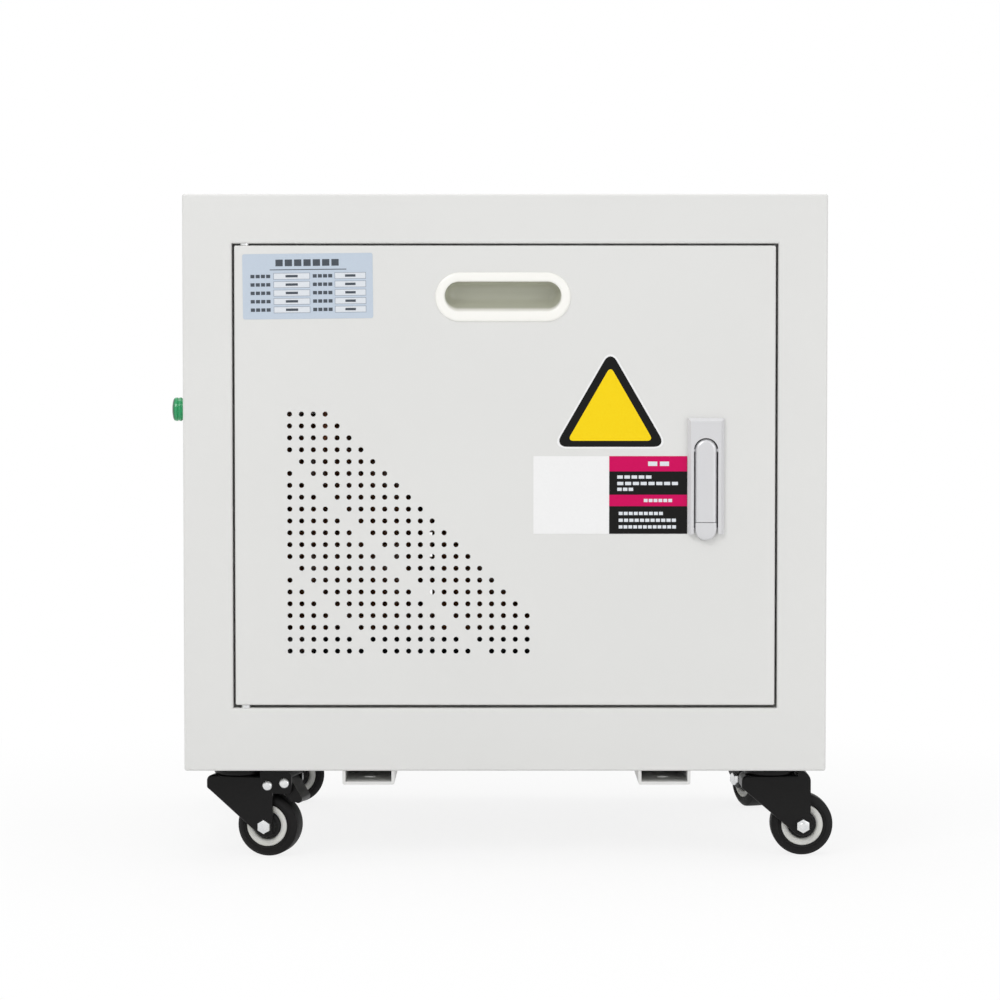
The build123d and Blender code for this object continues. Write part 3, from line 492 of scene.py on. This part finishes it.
def makePullCup():
    # moulded cup: soft bright rim, upright roof, and a floor that slopes up from the lower lip
    cup = {"proud": 2.5, "segments": 64,
           # half width, top, bottom and depth of each ring, from the back of the shell
           # forward over the rim and down to the floor of the well
           "rings": [(53.7, 10.2, -10.2, 22.0), (56.8, 13.3, -13.3, 21.2),
                     (59.0, 15.5, -15.5, 18.9), (59.7, 16.2, -16.2, 16.0),
                     (59.7, 16.2, -16.2, 0.0), (67.2, 23.5, -25.3, 0.0),
                     (67.2, 23.5, -25.3, -0.5), (66.8, 23.1, -24.9, -1.4),
                     (66.0, 22.3, -24.1, -2.1), (64.8, 21.1, -22.9, -2.5),
                     (60.0, 16.4, -16.8, -2.5), (58.8, 15.2, -15.6, -2.2),
                     (58.1, 14.5, -14.9, -1.5), (57.8, 14.25, -14.4, -0.4),
                     (57.7, 14.2, -13.6, 1.5), (57.4, 14.1, -12.3, 4.5),
                     (56.9, 13.8, -10.6, 8.5), (55.8, 13.0, -8.6, 13.0),
                     (53.6, 11.2, -6.4, 17.0), (50.5, 8.6, -4.0, 19.4),
                     (47.0, 5.6, -1.6, 20.0)]}
    low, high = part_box("pull_cup")
    centre = (low + high) / 2
    doorFace = low.y + cup["proud"] * mm
    halfStep = Matrix.Rotation(math.pi / cup["segments"], 4, "Z")
    mesh = bmesh.new()
    verts = bmesh.ops.create_circle(mesh, segments=cup["segments"], radius=1,
                                    matrix=upright @ halfStep)["verts"]
    ring = firstRing = mesh.edges[:]
    straight, radius, middle = 0, 1, 0
    for step, (halfWide, top, bottom, depth) in enumerate(cup["rings"]):
        if step:
            made = bmesh.ops.extrude_edge_only(mesh, edges=ring)["geom"]
            verts = [item for item in made if isinstance(item, bmesh.types.BMVert)]
            ring = [item for item in made if isinstance(item, bmesh.types.BMEdge)
                    and all(v in verts for v in item.verts)]
        grow = (top - bottom) / 2 / radius
        for vert in verts:
            side = math.copysign(1, vert.co.x)
            vert.co.x = side * (halfWide - radius * grow) + (vert.co.x - side * straight) * grow
            vert.co.z = (top + bottom) / 2 + (vert.co.z - middle) * grow
            vert.co.y = depth
        radius *= grow
        straight, middle = halfWide - radius, (top + bottom) / 2
    bmesh.ops.contextual_create(mesh, geom=firstRing)
    bmesh.ops.contextual_create(mesh, geom=ring)
    place = Matrix.Translation((centre.x, doorFace, centre.z)) @ Matrix.Diagonal((mm, mm, mm, 1))
    bmesh.ops.transform(mesh, matrix=place, verts=mesh.verts)
    bmesh.ops.recalc_face_normals(mesh, faces=mesh.faces)
    finishPiece(mesh, "pullCup", cupAbs, "door", ("pull_cup",), smoothAngle=50)


def roundBelow(mesh, verts, radius):
    # round the two lower corners of an upright plate
    lowest = min(v.co.z for v in verts)
    lower = [v for v in verts if v.co.z < lowest + nearby]
    edges = {e for v in lower for e in v.link_edges
             if abs(e.other_vert(v).co.y - v.co.y) > nearby}
    roundEdges(mesh, edges, radius, segments=20)


def makeLockButton():
    # push button of the lock: a tip with a crowned edge, a low pad on its face, a stem behind
    button = {"endShade": 3.6, "crown": 2.3, "crownSteps": 5, "padHigh": 0.25, "padInset": 3.8,
              "padDrop": 3.2, "roundShare": 0.99, "stemHalf": 8.0, "stemRise": 7.5,
              "overlap": 0.1}
    overlap = button["overlap"] * mm  # how far the pad and the stem reach into the tip
    low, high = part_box("lock_button")
    middle = (low.x + high.x) / 2
    half = (high.x - low.x) / 2
    face = low.y + button["padHigh"] * mm
    seat = low.y + button["endShade"] * mm
    mesh = bmesh.new()
    frontPlate(mesh, low.x, high.x, low.z, high.z, seat, seat - face)
    roundBelow(mesh, mesh.verts[:], half * button["roundShare"])
    rim = [e for e in mesh.edges if all(abs(v.co.y - face) < nearby for v in e.verts)
           and min(v.co.z for v in e.verts) < high.z - nearby]
    roundEdges(mesh, rim, button["crown"] * mm, button["crownSteps"])
    pad = bmesh.new()
    inset = button["padInset"] * mm
    frontPlate(pad, low.x + inset, high.x - inset, low.z + inset,
               high.z - button["padDrop"] * mm, face + overlap,
               (button["padHigh"] + button["overlap"]) * mm)
    roundBelow(pad, pad.verts[:], (half - inset) * button["roundShare"])
    joinMesh(mesh, pad)
    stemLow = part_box("lock_bezel")[0].z + button["stemRise"] * mm
    stemHalf = button["stemHalf"] * mm
    frontPlate(mesh, middle - stemHalf, middle + stemHalf, stemLow, high.z - overlap, high.y,
               high.y - seat + overlap)
    bmesh.ops.recalc_face_normals(mesh, faces=mesh.faces)
    finishPiece(mesh, "lockButton", satinChrome, "lock_button", ("lock_button",),
                smoothAngle=25)


def spinProfile(points, steps=72, mesh=None):
    # turn an outline of (radius, along) points about the local Y axis; the outline is closed
    # unless it starts on that axis
    mesh = mesh or bmesh.new()
    verts = [mesh.verts.new((radius * mm, along * mm, 0)) for radius, along in points]
    first = 0 if points[0][0] else 1
    edges = [mesh.edges.new((verts[i - 1], verts[i])) for i in range(first, len(verts))]
    bmesh.ops.spin(mesh, geom=verts + edges, cent=(0, 0, 0), axis=(0, 1, 0), angle=math.tau,
                   steps=steps, use_merge=True, use_normal_flip=False)
    bmesh.ops.remove_doubles(mesh, verts=mesh.verts, dist=merging)
    bmesh.ops.recalc_face_normals(mesh, faces=mesh.faces)
    return mesh


def bothSides(half):
    # an outline for one side of the wheel, repeated on the other
    return half + [(radius, -along) for radius, along in reversed(half)]


def wheelPlace(jointName):
    # where a caster's wheel stands and how it is turned, from its own joint
    joint = [j for j in frame["record"]["behaviour"]["joints"] if j["name"] == jointName][0]
    axis = joint["axis"]
    turn = math.atan2(-axis[0], axis[1])
    return Matrix.Translation(joint["pos_m"]) @ Matrix.Rotation(turn, 4, "Z")


def makeWheel(corner):
    # tyre with a flat tread, a soft shoulder and a sidewall step; dished rim; cap over the hub
    wheel = {"tyre": [(31.4, 3.0), (31.3, 8.2), (30.9, 9.6), (31.0, 10.0), (30.4, 10.5),
                      (29.2, 12.0), (27.4, 13.2), (25.6, 13.8), (24.4, 13.9), (24.0, 13.5),
                      (23.5, 13.5), (23.1, 13.8), (22.0, 13.6), (21.2, 12.9), (21.0, 11.0)],
             "rim": [(21.0, 10.0), (20.9, 12.7), (20.5, 13.1), (19.6, 13.3), (17.0, 13.2),
                     (15.6, 12.8), (14.7, 12.0), (14.2, 10.8), (14.1, 9.6), (9.2, 9.6),
                     (4.2, 9.6)],
             "cap": [(14.0, 9.6), (13.8, 11.0), (13.2, 11.7), (12.2, 11.9), (11.4, 12.2),
                     (10.8, 13.2), (10.2, 15.6), (9.6, 16.8), (8.6, 17.2), (4.2, 17.2),
                     (4.2, 9.6)]}
    lead = "caster_" + corner + "_"
    place = wheelPlace(lead + "wheel_roll")
    body = lead + "wheel"
    for part, material, slotName in (("tyre", treadRubber, "tyre_black"),
                                     ("rim", nylon, "rim_white")):
        mesh = spinProfile(bothSides(wheel[part]))
        bmesh.ops.transform(mesh, matrix=place, verts=mesh.verts)
        finishPiece(mesh, part + corner.title(), material, body, (lead + part,),
                    smoothAngle=40)
    for side, end, replaced in ((-1, "Front", (lead + "hub_caps",)), (1, "Back", ())):
        mesh = spinProfile([(radius, along * side) for radius, along in wheel["cap"]])
        bmesh.ops.transform(mesh, matrix=place, verts=mesh.verts)
        finishPiece(mesh, "hubCap" + corner.title() + end, polypropylene, body,
                    replaced, smoothAngle=40)


def hexPrism(mesh, corner, start, end, chamfer):
    # a hexagon along the local Y axis with a point at the top, its outer edges eased
    place = Matrix.Translation((0, (start + end) / 2 * mm, 0)) @ upright
    made = bmesh.ops.create_cone(mesh, cap_ends=True, segments=6, radius1=corner * mm,
                                 radius2=corner * mm, depth=abs(end - start) * mm,
                                 matrix=place)["verts"]
    outer = [v for v in made if abs(v.co.y - end * mm) < nearby]
    edges = {e for v in outer for e in v.link_edges if e.other_vert(v) in outer}
    roundEdges(mesh, edges, chamfer * mm, segments=2)


def makeAxle(corner, nutSide):
    # chamfered hex bolt and nut with the end of the bolt, and two domed rivets on a braked fork
    axle = {"half": 20.0, "hexCorner": 7.2, "head": 25.3, "nut": 26.3, "chamfer": 0.9,
            "shank": [(0, 28.6), (3.0, 28.6), (4.0, 27.8), (4.0, -20.0), (0, -20.0)],
            "rivet": [(0, 22.7), (2.2, 22.5), (3.8, 21.9), (4.9, 21.0), (5.3, 20.0),
                      (3.0, 20.0), (3.0, 0.0)],
            "rivets": ((20.3, 44.3), (2.6, 41.4)), "steps": 32}
    lead = "caster_" + corner + "_"
    place = wheelPlace(lead + "wheel_roll")
    mesh = bmesh.new()
    for side, end in ((nutSide, axle["nut"]), (-nutSide, axle["head"])):
        hexPrism(mesh, axle["hexCorner"], side * axle["half"], side * end, axle["chamfer"])
    shank = [(radius, nutSide * along) for radius, along in axle["shank"]]
    spinProfile(shank, axle["steps"], mesh)
    bmesh.ops.transform(mesh, matrix=place, verts=mesh.verts)
    finishPiece(mesh, "axleBolt" + corner.title(), zinc, lead + "swivel",
                (lead + "axle",), smoothAngle=30)
    if corner not in brakedCorners:
        return
    rivets = bmesh.new()
    for x, z in axle["rivets"]:
        one = spinProfile(bothSides(axle["rivet"]), axle["steps"])
        bmesh.ops.translate(one, vec=(x * mm, 0, z * mm), verts=one.verts)
        joinMesh(rivets, one)
    bmesh.ops.transform(rivets, matrix=place, verts=rivets.verts)
    finishPiece(rivets, "brakeRivets" + corner.title(), zinc, lead + "swivel",
                smoothAngle=40)


def makeLampLens():
    # ribbed green lens with a domed end
    lens = {"outline": [(0, -3.5), (12.0, -3.5), (12.0, -5.4), (11.3, -5.9), (11.3, -6.7),
                        (12.0, -7.2), (12.0, -9.2), (11.3, -9.7), (11.3, -10.5), (12.0, -11.0),
                        (11.9, -13.2), (11.2, -14.6), (9.4, -15.6), (5.5, -16.3), (0, -16.5)],
            "steps": 48}
    low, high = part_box("pilot_lamp_lens")
    middle = (low + high) / 2
    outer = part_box("left_side_panel")[0].x
    mesh = spinProfile(lens["outline"], lens["steps"])
    sideways = Matrix.Rotation(math.radians(-90), 4, "Z")
    place = Matrix.Translation((outer, middle.y, middle.z)) @ sideways
    bmesh.ops.transform(mesh, matrix=place, verts=mesh.verts)
    bmesh.ops.recalc_face_normals(mesh, faces=mesh.faces)
    finishPiece(mesh, "lampLens", lensGreen, "cabinet", ("pilot_lamp_lens",),
                smoothAngle=30)


def makeScrewRecessShades():
    # painted shade of the cross recesses on the pan heads of the panel screws: black crosses laid
    # on the heads; the second bar of each cross stands a little prouder than the first, so that the
    # two don't flicker
    cross = {"reach": 2.3, "half": 0.45, "proud": 0.06, "secondProud": 1.1, "headHigh": 3.0,
             "backX": (-290, 0, 290), "backZ": (110, 378, 648), "sideY": (-180, 13, 205),
             "drop": 12}
    middleZ = cross["backZ"][1]  # the row that has no screw in the middle
    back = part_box("back_panel")[1].y + cross["headHigh"] * mm
    places = []
    for x in cross["backX"]:
        for z in cross["backZ"]:
            if x or z != middleZ:
                turn = Matrix.Rotation(math.pi, 4, "Z")
                places.append(Matrix.Translation((x * mm, back, z * mm)) @ turn)
    sideZ = cabinetHigh.z - cross["drop"] * mm
    for sign in (-1, 1):
        x = sign * (cabinetHigh.x + cross["headHigh"] * mm)
        for y in cross["sideY"]:
            turn = Matrix.Rotation(sign * math.pi / 2, 4, "Z")
            places.append(Matrix.Translation((x, y * mm, sideZ)) @ turn)
    mesh = bmesh.new()
    reach, half, proud = cross["reach"] * mm, cross["half"] * mm, cross["proud"] * mm
    for place in places:
        start = len(mesh.verts)
        frontPlate(mesh, -reach, reach, -half, half, 0, proud)
        frontPlate(mesh, -half, half, -reach, reach, 0, proud * cross["secondProud"])
        mesh.verts.ensure_lookup_table()
        bmesh.ops.transform(mesh, matrix=place, verts=mesh.verts[start:])
    bmesh.ops.recalc_face_normals(mesh, faces=mesh.faces)
    finishPiece(mesh, "screwRecessShades", polypropylene, "cabinet")


makeRatingPlate()
makeTriangleLabel()
makeBandedLabel()
makePullCup()
makeLockButton()
for corner in corners:
    makeWheel(corner)
    makeAxle(corner, -1 if corner == "fr" else 1)
makeLampLens()
makeScrewRecessShades()
print("pieces made")


def placeCamera():
    view = {"distance": 3.07, "height": 0.493, "left": 0.005, "tilt": 2.45, "lens": 111.3,
            "sensor": 36, "farthest": 60}
    data = bpy.data.cameras.new("camera")
    data.lens = view["lens"]
    data.sensor_width = view["sensor"]
    data.clip_end = view["farthest"]
    camera = bpy.data.objects.new("camera", data)
    camera.location = (-view["left"], frontY - view["distance"], view["height"])
    camera.rotation_euler = (math.radians(90 - view["tilt"]), 0, 0)
    bpy.context.scene.collection.objects.link(camera)
    bpy.context.scene.camera = camera


def seenDirectly(tree):
    # 1 where the camera, a mirror or a clear piece looks, 0 where light is gathered
    path = addNode(tree, "ShaderNodeLightPath")
    first = addNode(tree, "ShaderNodeMath", operation="MAXIMUM", socket0=(path, "Is Camera Ray"),
                    socket1=(path, "Is Glossy Ray"))
    return addNode(tree, "ShaderNodeMath", operation="MAXIMUM", socket0=(first, "Value"),
                   socket1=(path, "Is Transmission Ray"))


def layFloor():
    # a pale floor: soft shadow near the cabinet, running into the white ground farther out
    ground = {"size": 14, "color": "F6F6F6", "roughness": 0.9, "fadeStart": 0.35, "fadeEnd": 1.0,
              "whiteNear": 0.84, "whiteFar": 1.0}
    mesh = bmesh.new()
    bmesh.ops.create_grid(mesh, x_segments=1, y_segments=1, size=ground["size"])
    data = bpy.data.meshes.new("studioFloor")
    mesh.to_mesh(data)
    mesh.free()
    floor = bpy.data.objects.new("studioFloor", data)
    bpy.context.scene.collection.objects.link(floor)
    material, tree, shader = newMaterial("paleStudioFloor", ground["color"], ground["roughness"])
    glow = addNode(tree, "ShaderNodeEmission", Strength=1.0)
    coords = addNode(tree, "ShaderNodeTexCoord")
    reach = addNode(tree, "ShaderNodeVectorMath", operation="LENGTH", socket0=(coords, "Object"))
    fade = addNode(tree, "ShaderNodeMapRange", interpolation_type="SMOOTHSTEP",
                   Value=(reach, "Value"))
    fade.inputs["From Min"].default_value = ground["fadeStart"]
    fade.inputs["From Max"].default_value = ground["fadeEnd"]
    fade.inputs["To Min"].default_value = ground["whiteNear"]
    fade.inputs["To Max"].default_value = ground["whiteFar"]
    share = addNode(tree, "ShaderNodeMath", operation="MULTIPLY",
                    socket0=(seenDirectly(tree), "Value"), socket1=(fade, "Result"))
    mix = addNode(tree, "ShaderNodeMixShader", Fac=(share, "Value"), socket1=(shader, "BSDF"),
                  socket2=(glow, "Emission"))
    tree.links.new(mix.outputs["Shader"], tree.nodes["Material Output"].inputs["Surface"])
    data.materials.append(material)


def lightStudio():
    # even white surroundings and three soft boxes aimed at the middle of the cabinet
    studio = {"around": 0.58, "aim": (0, 0, 0.4), "boxes": [
        {"name": "keyBox", "place": (-1.5, -2.6, 2.7), "size": 1.6, "watts": 36},
        {"name": "fillBox", "place": (2.2, -2.4, 1.3), "size": 1.8, "watts": 14},
        {"name": "topBox", "place": (0.2, 0.6, 3.2), "size": 2.0, "watts": 26}]}
    world = bpy.data.worlds.new("studioWorld")
    bpy.context.scene.world = world
    world.use_nodes = True
    tree = world.node_tree
    ambient = tree.nodes["Background"]
    ambient.inputs["Color"].default_value = (1, 1, 1, 1)
    ambient.inputs["Strength"].default_value = studio["around"]
    white = addNode(tree, "ShaderNodeBackground", Color=(1, 1, 1, 1), Strength=1.0)
    mix = addNode(tree, "ShaderNodeMixShader", Fac=(seenDirectly(tree), "Value"),
                  socket1=(ambient, "Background"), socket2=(white, "Background"))
    tree.links.new(mix.outputs["Shader"], tree.nodes["World Output"].inputs["Surface"])
    for one in studio["boxes"]:
        data = bpy.data.lights.new(one["name"], "AREA")
        data.size = one["size"]
        data.energy = one["watts"]
        lamp = bpy.data.objects.new(one["name"], data)
        lamp.location = one["place"]
        aim = Vector(studio["aim"]) - lamp.location
        lamp.rotation_euler = aim.to_track_quat("-Z", "Y").to_euler()
        bpy.context.scene.collection.objects.link(lamp)


placeCamera()
layFloor()
lightStudio()
bpy.context.scene.view_settings.view_transform = "Standard"
print("studio set")
